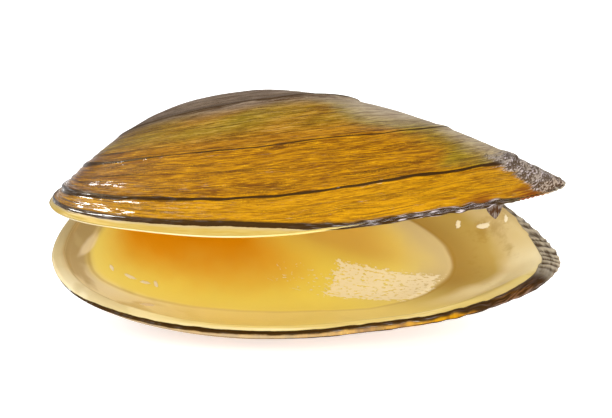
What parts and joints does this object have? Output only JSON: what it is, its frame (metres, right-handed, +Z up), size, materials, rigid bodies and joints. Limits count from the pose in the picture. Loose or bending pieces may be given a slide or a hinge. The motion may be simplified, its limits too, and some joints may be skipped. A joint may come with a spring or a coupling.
{
  "type": "swan mussel shell",
  "caption": "Empty freshwater mussel shell lying open on its belly: a domed upper valve over a hollow lower valve, held together along the back by an elastic ligament.",
  "frame": {"origin": "middle of the underside of the bounding box, on the surface that the lower valve rests on", "axes": "+X from the rounded front end towards the pointed rear end along the hinge line, -Y out of the open gape, +Z up"},
  "size_m": [0.1306, 0.0692, 0.0608],
  "materials": {
    "periostracum": "wet, glossy golden brown to olive horny skin with dark growth rings, over cream nacre inside",
    "nacre": "wet, smooth cream to orange mother-of-pearl inside, golden brown horny skin outside",
    "ligament": "dark brown horny band with fine cross wrinkles"
  },
  "bodies": {
    "root": {"left_valve": "periostracum", "right_valve": "nacre", "ligament": "ligament"}
  },
  "joints": []
}
